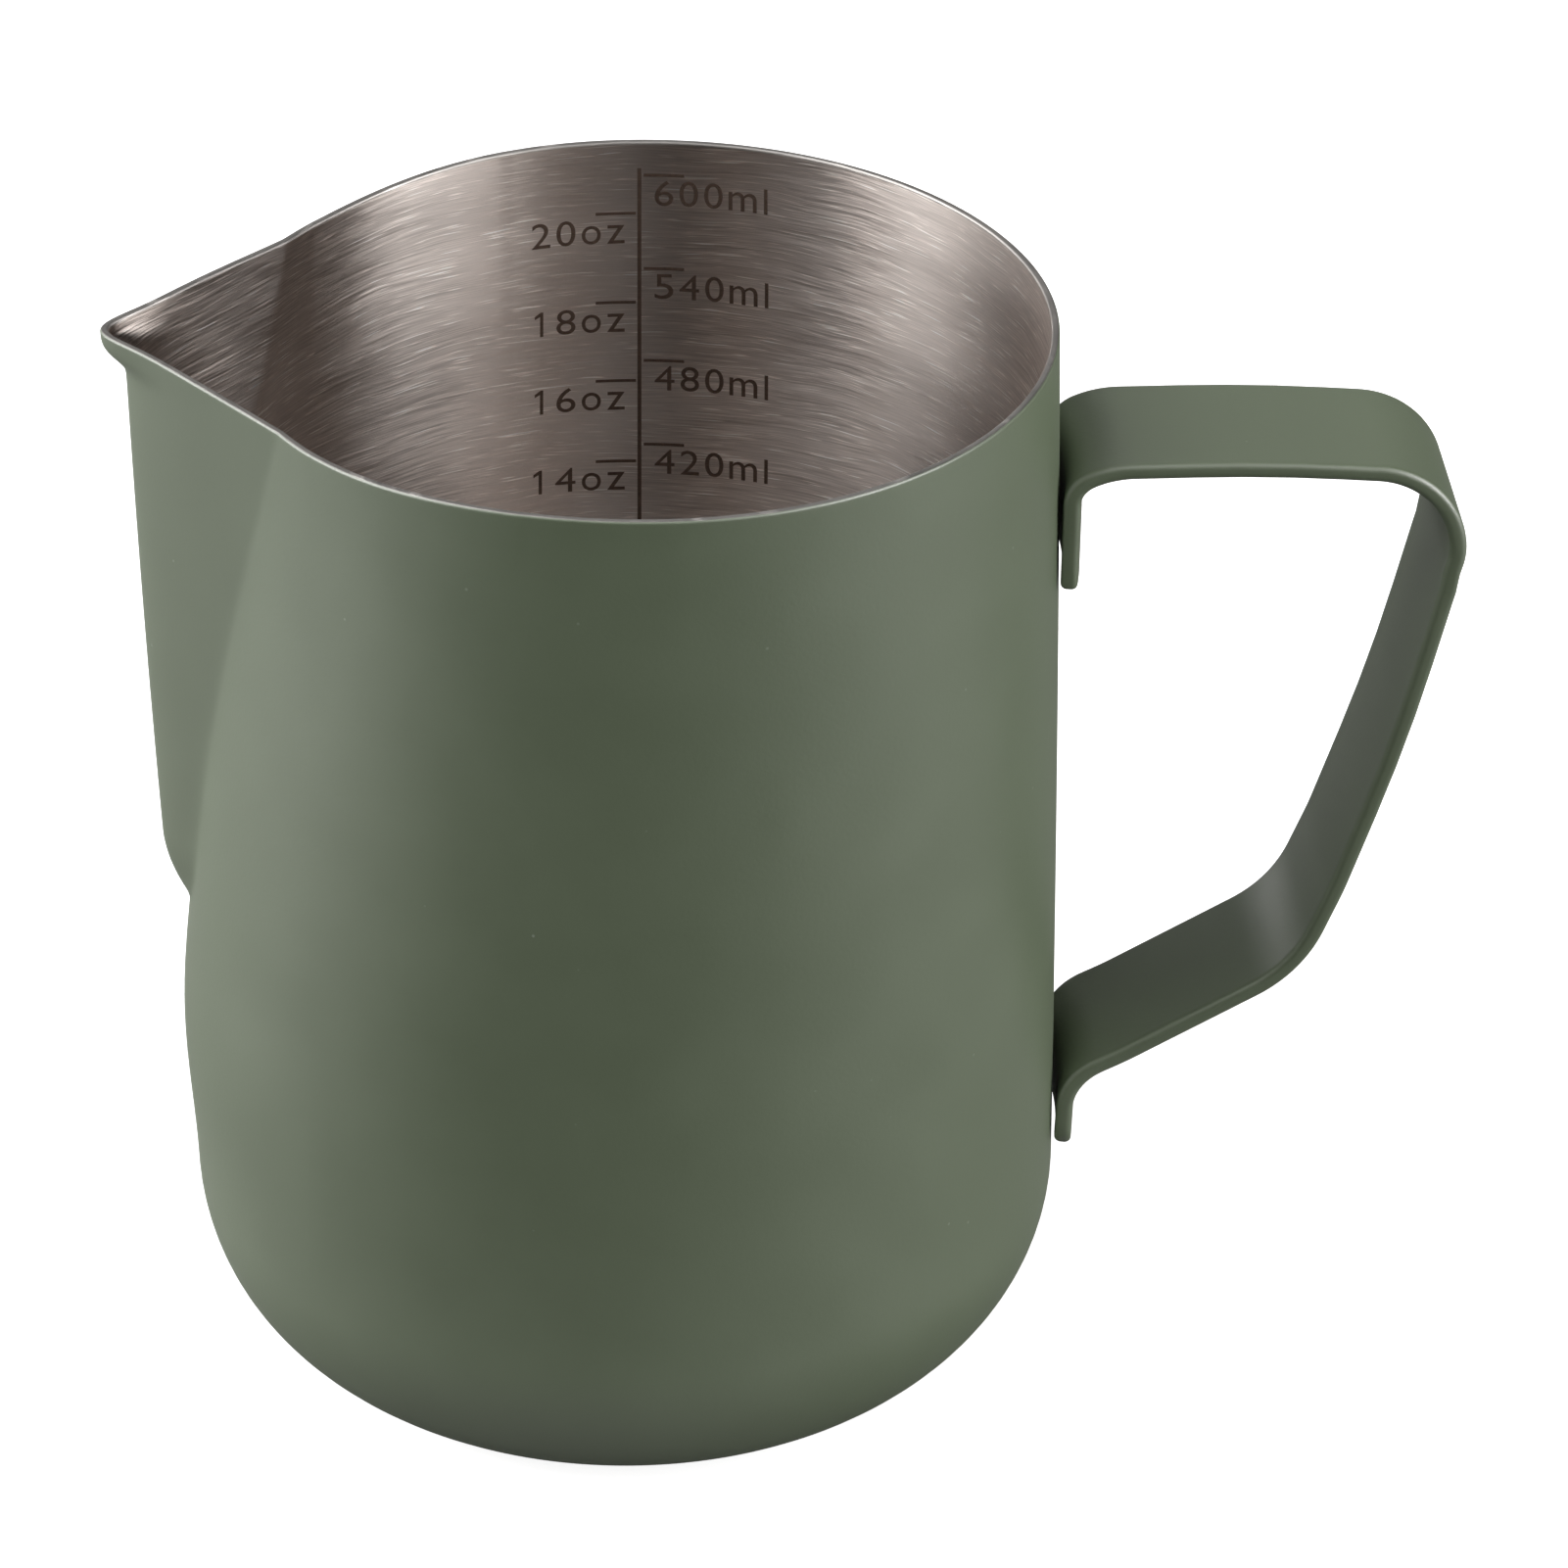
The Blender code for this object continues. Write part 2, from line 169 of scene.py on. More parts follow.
def make_cup():
    """The cup as one closed shell: coated outside, rounded bare rim, bare inside."""
    n = CUP_COLUMNS
    rows = cup_rows()
    outer = np.zeros((len(rows) + 1, n, 3))
    for i, (r, z) in enumerate([(wall_radius(RIM_Z), RIM_Z)] + rows):
        for j in range(n):
            t = 2.0 * math.pi * j / n
            outer[i, j] = press_spout(r * math.cos(t), r * math.sin(t), z)
    top, sheet = outer[0], outer[1:]
    du = np.roll(outer, -1, axis=1) - np.roll(outer, 1, axis=1)
    dv = np.zeros_like(outer)
    dv[1:-1] = outer[:-2] - outer[2:]
    dv[0], dv[-1] = outer[0] - outer[1], outer[-2] - outer[-1]
    normal = np.cross(du, dv)
    normal /= np.maximum(np.linalg.norm(normal, axis=2, keepdims=True), 1e-12)
    flat = np.array([r <= FOOT_R - BASE_CORNER_R + 1e-6 for r, z in [(99.0, 0.0)] + rows])
    normal[flat] = (0.0, 0.0, -1.0)
    inner = outer - WALL_T * normal
    # the ground edge: a rounded band between the two faces of the sheet
    level = normal[1].copy()
    level[:, 2] = 0.0
    level /= np.linalg.norm(level, axis=1, keepdims=True)
    rise = (top[:, 2] - sheet[0][:, 2])[:, None]
    lean = (top - sheet[0])
    lean[:, 2] = 0.0
    band = []
    for k in range(1, 6):
        a = math.radians(18.0 * k)
        band.append(sheet[0] + lean * math.sin(a) - level * RIM_ROUND * (1.0 - math.cos(a))
                    + np.array((0.0, 0.0, 1.0)) * rise * math.sin(a))
    for k in range(5, 0, -1):
        a = math.radians(18.0 * k)
        band.append(inner[1] + lean * math.sin(a) + level * RIM_ROUND * (1.0 - math.cos(a))
                    + np.array((0.0, 0.0, 1.0)) * (sheet[0][:, 2:] + rise * math.sin(a) - inner[1][:, 2:]))
    inner_rows = inner[1:]
    loops = [*sheet[::-1], *band, *inner_rows]
    points = np.concatenate([np.array(loops).reshape(-1, 3), [[0.0, 0.0, 0.0], [0.0, 0.0, WALL_T]]])
    count = len(loops)
    faces, kinds = [], []
    n_sheet, n_band = len(sheet), len(band)
    for i in range(count - 1):
        if i < n_sheet - 1:
            kind = 0
        elif i < n_sheet + 1:
            kind = 0
        elif i < n_sheet + 2:
            kind = 0
        elif i < n_sheet + n_band:
            kind = 2
        else:
            kind = 1
        for j in range(n):
            k = (j + 1) % n
            faces.append((i * n + j, i * n + k, (i + 1) * n + k, (i + 1) * n + j))
            kinds.append(kind)
    low, high = len(points) - 2, len(points) - 1
    for j in range(n):
        k = (j + 1) % n
        faces.append((low, k, j))
        kinds.append(0)
        faces.append((high, (count - 1) * n + j, (count - 1) * n + k))
        kinds.append(1)
    mesh = bpy.data.meshes.new("cup")
    mesh.from_pydata((points * MM).tolist(), [], faces)
    bm = bmesh.new()
    bm.from_mesh(mesh)
    for f, kind in zip(bm.faces, kinds):
        f.material_index = kind
        f.smooth = True
    bmesh.ops.recalc_face_normals(bm, faces=bm.faces)
    bm.to_mesh(mesh)
    bm.free()
    return link(bpy.data.objects.new("cup_shell", mesh))


# -------------------------------------------------------------------- handle
def bend_line(corners, start, end, turn_step, run_step):
    """Centre line through filleted corners, as a list of (x, z)."""
    line = [start]
    ends = [start] + [(c[0], c[1]) for c in corners] + [end]
    for i, (cx, cz, radius) in enumerate(corners):
        b = Vector((cx, cz))
        u = Vector(ends[i]) - b
        v = Vector(ends[i + 2]) - b
        room = 0.49 * min(u.length, v.length)
        u.normalize()
        v.normalize()
        angle = u.angle(v)
        t = min(radius / math.tan(angle / 2.0), room)
        r = t * math.tan(angle / 2.0)
        centre = b + (u + v).normalized() * (r / math.sin(angle / 2.0))
        s, e = b + u * t - centre, b + v * t - centre
        turn = math.atan2(s.x * e.y - s.y * e.x, s.dot(e))
        n = max(3, int(round(abs(math.degrees(turn)) / turn_step)))
        for k in range(n + 1):
            a = turn * k / n
            q = centre + Vector((s.x * math.cos(a) - s.y * math.sin(a), s.x * math.sin(a) + s.y * math.cos(a)))
            line.append((q.x, q.y))
    line.append(end)
    dense = [line[0]]
    for (ax, az), (bx, bz) in zip(line[:-1], line[1:]):
        length = math.hypot(bx - ax, bz - az)
        if length < 0.05:
            continue
        n = max(1, int(length / run_step))
        for k in range(1, n + 1):
            dense.append((ax + (bx - ax) * k / n, az + (bz - az) * k / n))
    return dense


def make_handle():
    """The bent strip: a swept open sheet, cornered tabs, thickness, rolled edges."""
    line = bend_line(HANDLE_CORNERS, (TAB_UP_X, TAB_UP_END_Z), (TAB_LOW_X, TAB_LOW_END_Z), 3.0, 1.2)
    mesh = bpy.data.meshes.new("handle_line")
    mesh.from_pydata([(x * MM, -0.5 * STRIP_W * MM, z * MM) for x, z in line],
                     [(i, i + 1) for i in range(len(line) - 1)], [])
    rail = link(bpy.data.objects.new("handle_line", mesh))
    sweep = rail.modifiers.new("width", "SCREW")
    sweep.axis = "Y"
    sweep.angle = 0.0
    sweep.screw_offset = STRIP_W * MM
    sweep.steps = sweep.render_steps = 16
    sweep.use_smooth_shade = True
    bpy.context.view_layer.update()
    sheet = bpy.data.meshes.new_from_object(rail.evaluated_get(bpy.context.evaluated_depsgraph_get()))
    bpy.data.objects.remove(rail, do_unlink=True)
    bm = bmesh.new()
    bm.from_mesh(sheet)
    bmesh.ops.remove_doubles(bm, verts=bm.verts, dist=0.00001)
    # rounded corners of both tabs: the end rows are drawn in along the strip
    half = 0.5 * STRIP_W
    for v in bm.verts:
        y, z = v.co.y / MM, v.co.z / MM
        edge = abs(y) - (half - TAB_CORNER_R)
        if edge > 0.0:
            cut = TAB_CORNER_R - math.sqrt(max(TAB_CORNER_R ** 2 - edge ** 2, 0.0))
            for end, sign in ((TAB_UP_END_Z, 1.0), (TAB_LOW_END_Z, 1.0)):
                reach = 5.0
                d = z - end
                if 0.0 <= d < reach:
                    v.co.z += cut * (1.0 - d / reach) * MM
    for v in bm.verts:
        x, y, z = v.co.x / MM, v.co.y / MM, v.co.z / MM
        tab_x = TAB_UP_X if z > 60.0 else TAB_LOW_X
        f = sink(1.0 - (x - tab_x) / TAB_FADE, 0.0, 1.0)
        f = f * f * (3.0 - 2.0 * f)
        v.co.x -= TAB_SAG * MM * f * (y / half) ** 2
    bmesh.ops.recalc_face_normals(bm, faces=bm.faces)
    bm.to_mesh(sheet)
    bm.free()
    handle = link(bpy.data.objects.new("handle_strip_shell", sheet))
    thick = handle.modifiers.new("thickness", "SOLIDIFY")
    thick.thickness = STRIP_T * MM
    thick.offset = 0.0
    thick.use_even_offset = True
    thick.use_rim = True
    edge = handle.modifiers.new("rolled_edge", "BEVEL")
    edge.width = STRIP_EDGE_R * MM
    edge.segments = 5
    edge.limit_method = "ANGLE"
    edge.angle_limit = math.radians(50.0)
    bpy.context.view_layer.update()
    solid = bpy.data.meshes.new_from_object(handle.evaluated_get(bpy.context.evaluated_depsgraph_get()))
    handle.modifiers.clear()
    handle.data = solid
    for p in solid.polygons:
        p.use_smooth = True
    return handle


# --------------------------------------------------------------------- welds
def make_weld(name, tab_x, y, z):
    """A fused nugget between tab and wall: a low dome with a heat ring."""
    face = tab_x - 0.5 * STRIP_T - TAB_SAG * (y / (0.5 * STRIP_W)) ** 2
    profile = [(0.0, -0.05), (0.5, -0.04), (1.0, 0.01), (1.35, 0.08), (1.6, 0.05), (1.9, 0.09),
               (2.12, 0.16), (WELD_R, 0.26), (2.16, 0.42), (2.0, 0.5), (1.2, 0.52), (0.0, 0.52)]
    n = 40
    points, faces = [], []
    for r, d in profile:
        ring = 1 if r == 0.0 else n
        for j in range(ring):
            a = 2.0 * math.pi * j / n
            points.append(((face + d) * MM, (y + r * math.cos(a)) * MM, (z + r * math.sin(a)) * MM))
    start = 1
    for j in range(n):
        faces.append((0, start + j, start + (j + 1) % n))
    for i in range(len(profile) - 3):
        a, b = start + i * n, start + (i + 1) * n
        for j in range(n):
            k = (j + 1) % n
            faces.append((a + j, b + j, b + k, a + k))
    last = start + (len(profile) - 3) * n
    for j in range(n):
        faces.append((len(points) - 1, last + (j + 1) % n, last + j))
    mesh = bpy.data.meshes.new(name)
    mesh.from_pydata(points, [], faces)
    bm = bmesh.new()
    bm.from_mesh(mesh)
    bmesh.ops.recalc_face_normals(bm, faces=bm.faces)
    for f in bm.faces:
        f.smooth = True
    bm.to_mesh(mesh)
    bm.free()
    return link(bpy.data.objects.new(name, mesh))


# ----------------------------------------------------------- the volume scale
SCALE_LINE_X = 2.9        # the upright line stands this far from the back's middle
MARK_RAISE = 0.035        # top of the marks above the wall
MARK_SINK = 0.06          # their underside inside the wall
LINE_W = 0.42
TICK_W = 0.34
ML_LEVELS = ((600, 111.4), (540, 100.55), (480, 89.7), (420, 79.65), (360, 69.4), (300, 59.2), (240, 49.0), (180, 38.9), (120, 28.9))
OZ_LEVELS = ((20, 107.0), (18, 96.6), (16, 87.3), (14, 77.6), (12, 67.9), (10, 58.1), (8, 48.2), (6, 38.3), (4, 28.3))
DIGIT_H = 2.90
X_HEIGHT = 0.74
GLYPH_WEIGHT = -0.004


def wall_point(s, z):
    """Inner wall at arc length s (mm) clockwise from the back's middle, and its inward normal."""
    def outer(si, zi):
        theta = math.pi / 2 - si / 42.0
        phi_true = math.pi - theta
        r = wall_radius(zi)
        r = body_radius(phi_true, zi, r)
        return Vector((r * math.cos(theta), r * math.sin(theta), zi))
    p = outer(s, z)
    tangent = outer(s + 0.05, z) - outer(s - 0.05, z)
    upward = outer(s, z + 0.05) - outer(s, z - 0.05)
    inward = tangent.cross(upward)
    inward.normalize()
    if inward.dot(Vector((p.x, p.y, 0.0))) > 0.0:
        inward.negate()
    return p + inward * WALL_T, inward


def wrap_marks(ob, name, s0, z0):
    """Lays a flat mesh (x along the wall, y up, z its thickness) onto the inner wall."""
    bpy.context.view_layer.update()
    mesh = bpy.data.meshes.new_from_object(ob.evaluated_get(bpy.context.evaluated_depsgraph_get()))
    bpy.data.objects.remove(ob, do_unlink=True)
    bm = bmesh.new()
    bm.from_mesh(mesh)
    bmesh.ops.remove_doubles(bm, verts=bm.verts, dist=0.0005)
    lo = min(v.co.z for v in bm.verts)
    hi = max(v.co.z for v in bm.verts)
    for v in bm.verts:
        p, inward = wall_point(s0 + v.co.x, z0 + v.co.y)
        t = (v.co.z - lo) / (hi - lo)
        q = p + inward * (-MARK_SINK + (MARK_RAISE + MARK_SINK) * t)
        v.co = q * MM
    bmesh.ops.recalc_face_normals(bm, faces=bm.faces)
    bm.to_mesh(mesh)
    bm.free()
    mesh.name = name
    return link(bpy.data.objects.new(name, mesh))


def bar(name, s0, z0, s1, z1):
    """A straight bar of the scale from (s0, z0) to (s1, z1)."""
    bm = bmesh.new()
    bmesh.ops.create_cube(bm, size=1.0)
    for v in bm.verts:
        v.co = Vector(((v.co.x + 0.5) * (s1 - s0), (v.co.y + 0.5) * (z1 - z0), v.co.z * 0.1))
    long_edges = [e for e in bm.edges if e.calc_length() > 1.0]
    bmesh.ops.subdivide_edges(bm, edges=long_edges, cuts=max(2, int(max(s1 - s0, z1 - z0) / 0.6)), use_grid_fill=True)
    mesh = bpy.data.meshes.new(name)
    bm.to_mesh(mesh)
    bm.free()
    return wrap_marks(link(bpy.data.objects.new(name + "_flat", mesh)), name, s0, z0)


GLYPH_W = {"m": 2.92, "l": 0.36, "o": 1.90, "z": 1.72, "4": 2.02}   # mm, the other figures 1.90
GLYPH_GAP = {"l": 0.78}                                              # mm before a glyph, otherwise 0.62


def glyph(ch):
    """One figure or unit letter as a flat mesh with a little depth, its left edge at x = 0."""
    if ch == "1":
        outline = ((0.86, 0.0), (1.19, 0.0), (1.19, DIGIT_H), (0.93, DIGIT_H), (0.32, 2.44), (0.32, 2.08), (0.86, 2.40))
        bm = bmesh.new()
        low = [bm.verts.new((x, y, -0.05)) for x, y in outline]
        high = [bm.verts.new((x, y, 0.05)) for x, y in outline]
        bm.faces.new(low[::-1])
        bm.faces.new(high)
        for i in range(len(outline)):
            k = (i + 1) % len(outline)
            bm.faces.new((low[i], low[k], high[k], high[i]))
        bm.normal_update()
        bmesh.ops.triangulate(bm, faces=[f for f in bm.faces if len(f.verts) > 4])
        return bm
    curve = bpy.data.curves.new("glyph", "FONT")
    curve.body = ch
    curve.size = DIGIT_H / 0.70
    curve.extrude = 0.05
    curve.resolution_u = 6
    curve.offset = GLYPH_WEIGHT
    ob = link(bpy.data.objects.new("glyph", curve))
    bpy.context.view_layer.update()
    mesh = bpy.data.meshes.new_from_object(ob.evaluated_get(bpy.context.evaluated_depsgraph_get()))
    bpy.data.objects.remove(ob, do_unlink=True)
    bm = bmesh.new()
    bm.from_mesh(mesh)
    bmesh.ops.remove_doubles(bm, verts=bm.verts, dist=0.0005)
    lo = min(v.co.x for v in bm.verts)
    hi = max(v.co.x for v in bm.verts)
    foot = min(v.co.y for v in bm.verts)
    tall = max(v.co.y for v in bm.verts) - foot
    width = GLYPH_W.get(ch, 1.90)
    height = X_HEIGHT * DIGIT_H if ch in "moz" else DIGIT_H
    for v in bm.verts:
        v.co.x = (v.co.x - lo) * width / (hi - lo)
        v.co.y = (v.co.y - foot) * height / tall
    return bm


def label(name, text, s0, z0, align):
    """Plain figures and a unit, one glyph after the other, DIGIT_H tall."""
    pen, placed = 0.0, []
    wide = 1.07 if align == "RIGHT" else 1.03
    for i, ch in enumerate(text):
        if i:
            pen += GLYPH_GAP.get(ch, 0.62) * wide
        placed.append((ch, pen))
        pen += GLYPH_W.get(ch, 1.90) * wide
    shift = -pen if align == "RIGHT" else 0.0
    whole = bmesh.new()
    for ch, at in placed:
        bm = glyph(ch)
        bmesh.ops.scale(bm, verts=bm.verts, vec=(wide, 1.0, 1.0))
        bmesh.ops.translate(bm, verts=bm.verts, vec=(at + shift, 0.0, 0.0))
        part = bpy.data.meshes.new("glyph")
        bm.to_mesh(part)
        bm.free()
        whole.from_mesh(part)
        bpy.data.meshes.remove(part)
    mesh = bpy.data.meshes.new(name)
    whole.to_mesh(mesh)
    whole.free()
    return wrap_marks(link(bpy.data.objects.new(name + "_flat", mesh)), name, s0, z0)


# ----------------------------------------------------------------- materials
def new_material(name):
    mat = bpy.data.materials.new(name)
    mat.use_nodes = True
    return mat, mat.node_tree.nodes, mat.node_tree.links, mat.node_tree.nodes["Principled BSDF"]


def math_node(nodes, links, op, a, b=None, c=None, clamp=False):
    node = nodes.new("ShaderNodeMath")
    node.operation = op
    node.use_clamp = clamp
    for i, value in enumerate((a, b, c)):
        if value is None:
            continue
        if isinstance(value, (int, float)):
            node.inputs[i].default_value = value
        else:
            links.new(value, node.inputs[i])
    return node.outputs[0]


def object_mm(nodes, links, scale=(1000.0, 1000.0, 1000.0)):
    coord = nodes.new("ShaderNodeTexCoord")
    mapping = nodes.new("ShaderNodeMapping")
    mapping.inputs["Scale"].default_value = scale
    links.new(coord.outputs["Object"], mapping.inputs["Vector"])
    return mapping.outputs["Vector"]


def noise(nodes, links, vector, scale, detail=2.0, roughness=0.5, distortion=0.0):
    node = nodes.new("ShaderNodeTexNoise")
    node.inputs["Scale"].default_value = scale
    node.inputs["Detail"].default_value = detail
    node.inputs["Roughness"].default_value = roughness
    node.inputs["Distortion"].default_value = distortion
    links.new(vector, node.inputs["Vector"])
    return node.outputs[0]


def ramp(nodes, links, value, lo, hi, out_lo, out_hi):
    node = nodes.new("ShaderNodeMapRange")
    node.inputs["From Min"].default_value = lo
    node.inputs["From Max"].default_value = hi
    node.inputs["To Min"].default_value = out_lo
    node.inputs["To Max"].default_value = out_hi
    links.new(value, node.inputs["Value"])
    return node.outputs[0]


COAT = (0.129, 0.172, 0.095)


def coat_material(name, strength=1.0):
    """Matt powder coat: satin sheen, fine grain, faint orange peel, a few pale flecks."""
    mat, nodes, links, shader = new_material(name)
    mm = object_mm(nodes, links)
    grain = noise(nodes, links, mm, 5.5, 3.0, 0.65)
    speck = noise(nodes, links, mm, 13.0, 1.0, 0.5)
    cloud = noise(nodes, links, mm, 0.11, 3.0, 0.55)
    peel = noise(nodes, links, mm, 2.2, 2.0, 0.5)
    value = math_node(nodes, links, "ADD",
                      ramp(nodes, links, grain, 0.3, 0.7, -0.055 * strength, 0.055 * strength),
                      ramp(nodes, links, cloud, 0.3, 0.7, -0.025, 0.025))
    value = math_node(nodes, links, "ADD", value, ramp(nodes, links, speck, 0.62, 0.8, 0.0, 0.10 * strength))
    value = math_node(nodes, links, "ADD", value, 1.0)
    cell = nodes.new("ShaderNodeTexVoronoi")
    cell.inputs["Scale"].default_value = 0.16
    links.new(mm, cell.inputs["Vector"])
    fleck = ramp(nodes, links, cell.outputs["Distance"], 0.016, 0.03, 1.0, 0.0)
    tint = nodes.new("ShaderNodeVectorMath")
    tint.operation = "SCALE"
    tint.inputs[0].default_value = COAT
    links.new(value, tint.inputs["Scale"])
    mix = nodes.new("ShaderNodeMix")
    mix.data_type = "RGBA"
    mix.inputs["B"].default_value = (0.42, 0.46, 0.40, 1.0)
    links.new(math_node(nodes, links, "MULTIPLY", fleck, 0.5), mix.inputs["Factor"])
    links.new(tint.outputs[0], mix.inputs["A"])
    links.new(mix.outputs["Result"], shader.inputs["Base Color"])
    rough = math_node(nodes, links, "ADD",
                      ramp(nodes, links, grain, 0.3, 0.7, 0.40, 0.50),
                      ramp(nodes, links, cloud, 0.3, 0.7, -0.02, 0.02))
    links.new(rough, shader.inputs["Roughness"])
    shader.inputs["IOR"].default_value = 2.7
    shader.inputs["Specular IOR Level"].default_value = 0.5
    height = math_node(nodes, links, "ADD",
                       math_node(nodes, links, "MULTIPLY", grain, 0.35),
                       math_node(nodes, links, "MULTIPLY", peel, 0.65))
    bump = nodes.new("ShaderNodeBump")
    bump.inputs["Strength"].default_value = 0.16
    bump.inputs["Distance"].default_value = 0.00012
    links.new(height, bump.inputs["Height"])
    links.new(bump.outputs["Normal"], shader.inputs["Normal"])
    return mat


STEEL = (0.645, 0.585, 0.548)
RIM_STEEL = (0.50, 0.48, 0.46)
SWAY = 0.06


def brushed_material(name, inside):
    """Steel brushed round the axis: long fine lines, short bright strokes, soft clouds."""
    mat, nodes, links, shader = new_material(name)
    coord = nodes.new("ShaderNodeTexCoord")
    split = nodes.new("ShaderNodeSeparateXYZ")
    links.new(coord.outputs["Object"], split.inputs[0])
    x, y, z = split.outputs
    radius = math_node(nodes, links, "SQRT", math_node(nodes, links, "ADD",
                       math_node(nodes, links, "MULTIPLY", x, x), math_node(nodes, links, "MULTIPLY", y, y)))
    # across the brushing: height on the wall, radius on the floor of the cup
    blend = ramp(nodes, links, z, 0.0, 0.02, 1.0, 0.0)
    across = math_node(nodes, links, "SUBTRACT", z, math_node(nodes, links, "MULTIPLY", radius, blend))
    # the strokes wander a little up and down
    warp_vec = nodes.new("ShaderNodeMapping")
    warp_vec.inputs["Scale"].default_value = (34.0, 34.0, 60.0)
    links.new(coord.outputs["Object"], warp_vec.inputs["Vector"])
    warp = noise(nodes, links, warp_vec.outputs[0], 1.0, 2.0, 0.5)
    across = math_node(nodes, links, "ADD", across,
                       math_node(nodes, links, "MULTIPLY", math_node(nodes, links, "SUBTRACT", warp, 0.5), 0.0035))

    def stretched(along, over):
        joined = nodes.new("ShaderNodeCombineXYZ")
        links.new(math_node(nodes, links, "MULTIPLY", x, along), joined.inputs[0])
        links.new(math_node(nodes, links, "MULTIPLY", y, along), joined.inputs[1])
        links.new(math_node(nodes, links, "MULTIPLY", across, over), joined.inputs[2])
        return joined.outputs[0]

    fine = noise(nodes, links, stretched(130.0, 8200.0), 1.0, 2.0, 0.6)
    lines = noise(nodes, links, stretched(100.0, 3400.0), 1.0, 3.0, 0.65)
    strokes = noise(nodes, links, stretched(210.0, 6400.0), 1.0, 1.0, 0.5)
    broad = noise(nodes, links, stretched(16.0, 110.0), 1.0, 2.0, 0.5)
    value = math_node(nodes, links, "ADD",
                      ramp(nodes, links, fine, 0.3, 0.7, -0.19, 0.19),
                      ramp(nodes, links, lines, 0.3, 0.7, -0.06, 0.06))
    value = math_node(nodes, links, "ADD", value, ramp(nodes, links, broad, 0.3, 0.7, -0.05, 0.05))
    value = math_node(nodes, links, "ADD", value, ramp(nodes, links, strokes, 0.62, 0.73, 0.0, 0.80))
    value = math_node(nodes, links, "ADD", value, 1.0)
    tint = nodes.new("ShaderNodeVectorMath")
    tint.operation = "SCALE"
    tint.inputs[0].default_value = STEEL if inside else RIM_STEEL
    links.new(value, tint.inputs["Scale"])
    links.new(tint.outputs[0], shader.inputs["Base Color"])
    shader.inputs["Metallic"].default_value = 1.0
    rough = math_node(nodes, links, "ADD",
                      ramp(nodes, links, lines, 0.3, 0.7, 0.33, 0.38),
                      ramp(nodes, links, broad, 0.3, 0.7, -0.02, 0.02))
    if not inside:
        rough = math_node(nodes, links, "MULTIPLY", rough, 1.3)
    links.new(rough, shader.inputs["Roughness"])
    unit = None
    if inside:
        shader.inputs["Anisotropic"].default_value = 1.0
        shader.inputs["Anisotropic Rotation"].default_value = 0.25
        tangent = nodes.new("ShaderNodeCombineXYZ")
        links.new(math_node(nodes, links, "MULTIPLY", y, -1.0), tangent.inputs[0])
        links.new(x, tangent.inputs[1])
        unit = nodes.new("ShaderNodeVectorMath")
        unit.operation = "NORMALIZE"
        links.new(tangent.outputs[0], unit.inputs[0])
        links.new(unit.outputs[0], shader.inputs["Tangent"])
    height = math_node(nodes, links, "ADD",
                       math_node(nodes, links, "MULTIPLY", fine, 0.4),
                       math_node(nodes, links, "MULTIPLY", strokes, 0.6))
    bump = nodes.new("ShaderNodeBump")
    bump.inputs["Strength"].default_value = 0.25
    bump.inputs["Distance"].default_value = 0.00005
    links.new(height, bump.inputs["Height"])
    if unit is None:
        links.new(bump.outputs["Normal"], shader.inputs["Normal"])
        return mat
    # each stroke faces a little to one side, so that the strokes fray the edges of the reflections
    sway = nodes.new("ShaderNodeVectorMath")
    sway.operation = "SCALE"
    links.new(unit.outputs[0], sway.inputs[0])
    links.new(math_node(nodes, links, "ADD",
                        ramp(nodes, links, lines, 0.3, 0.7, -0.4 * SWAY, 0.4 * SWAY),
                        ramp(nodes, links, fine, 0.3, 0.7, -SWAY, SWAY)), sway.inputs["Scale"])
    turned = nodes.new("ShaderNodeVectorMath")
    links.new(bump.outputs["Normal"], turned.inputs[0])
    links.new(sway.outputs[0], turned.inputs[1])
    facing = nodes.new("ShaderNodeVectorMath")
    facing.operation = "NORMALIZE"
    links.new(turned.outputs[0], facing.inputs[0])
    links.new(facing.outputs[0], shader.inputs["Normal"])
    return mat


def etched_material():
    """The oxide-dark, matt surface of the etched scale."""
    mat, nodes, links, shader = new_material("etched_mark")
    mm = object_mm(nodes, links, (2600.0, 2600.0, 6000.0))
    mottle = noise(nodes, links, mm, 1.0, 3.0, 0.6)
    mix = nodes.new("ShaderNodeMix")
    mix.data_type = "RGBA"
    mix.inputs["A"].default_value = (0.075, 0.048, 0.036, 1.0)
    mix.inputs["B"].default_value = (0.145, 0.100, 0.076, 1.0)
    links.new(ramp(nodes, links, mottle, 0.3, 0.7, 0.0, 1.0), mix.inputs["Factor"])
    links.new(mix.outputs["Result"], shader.inputs["Base Color"])
    shader.inputs["Metallic"].default_value = 0.35
    links.new(ramp(nodes, links, mottle, 0.3, 0.7, 0.5, 0.7), shader.inputs["Roughness"])
    return mat


